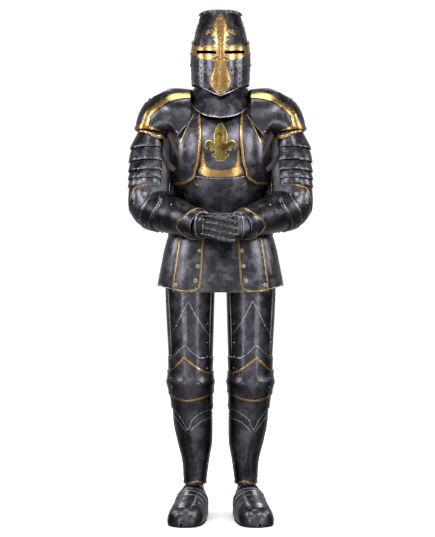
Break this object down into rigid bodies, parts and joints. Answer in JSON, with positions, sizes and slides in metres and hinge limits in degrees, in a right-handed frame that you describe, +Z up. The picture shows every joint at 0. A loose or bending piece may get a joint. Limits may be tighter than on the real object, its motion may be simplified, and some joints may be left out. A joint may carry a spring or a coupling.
{
  "type": "suit of plate armour",
  "caption": "Full suit of dark plate armour with brass trim, great helm, skirted body, jointed arms with clasped gauntlets, and leg and foot plates.",
  "frame": {"origin": "on the floor under the middle of the suit's bounding box", "axes": "+Z up, front towards -Y, the wearer's left at +X"},
  "size_m": [0.6816, 0.5222, 1.8695],
  "materials": {
    "steel": "dark polished",
    "brass": "satin",
    "leather": "matt",
    "arming_cloth": "matt",
    "sole_leather": "matt"
  },
  "bodies": {
    "suit": {"gorget_collar": "steel", "gorget_front": "steel", "gorget_back": "steel", "plackart": "steel", "breastplate": "steel", "backplate": "steel", "fauld": "steel", "skirt_front": "steel", "skirt_back": "steel", "pectoral_right": "steel", "pectoral_left": "steel", "skirt_side_right": "steel", "skirt_side_left": "steel", "tasset_right": "steel", "tasset_left": "steel", "pauldron_right": "steel", "pauldron_left": "steel", "arm_lames_right": "steel", "arm_lames_left": "steel", "couter_right": "steel", "couter_left": "steel", "vambrace_right": "steel", "vambrace_left": "steel", "cuff_right": "steel", "cuff_left": "steel", "hand_right": "steel", "hand_left": "steel", "cuisse_right": "steel", "cuisse_left": "steel", "cuisse_lames_right": "steel", "cuisse_lames_left": "steel", "poleyn_right": "steel", "poleyn_left": "steel", "shin_lames_right": "steel", "shin_lames_left": "steel", "greave_right": "steel", "greave_left": "steel", "sabaton_right": "steel", "sabaton_left": "steel", "breast_band": "brass", "breast_ornament": "brass", "pauldron_band_right": "brass", "pauldron_band_left": "brass", "side_strap_right": "leather", "side_strap_left": "leather", "arming_sleeve_right": "arming_cloth", "arming_sleeve_left": "arming_cloth", "sabaton_sole_right": "sole_leather", "sabaton_sole_left": "sole_leather"},
    "helm": {"helm_crown": "steel", "helm_top": "steel", "helm_face": "steel", "helm_back": "steel", "helm_brow": "brass", "helm_nasal": "brass", "helm_ornament": "brass", "helm_liner": "leather"}
  },
  "joints": [
    {"name": "helm_turn", "type": "hinge", "parent": "suit", "child": "helm", "pos_m": [0, 0.08858, 1.64], "axis": [0, 0, 1], "range_deg": [-30, 30]}
  ]
}
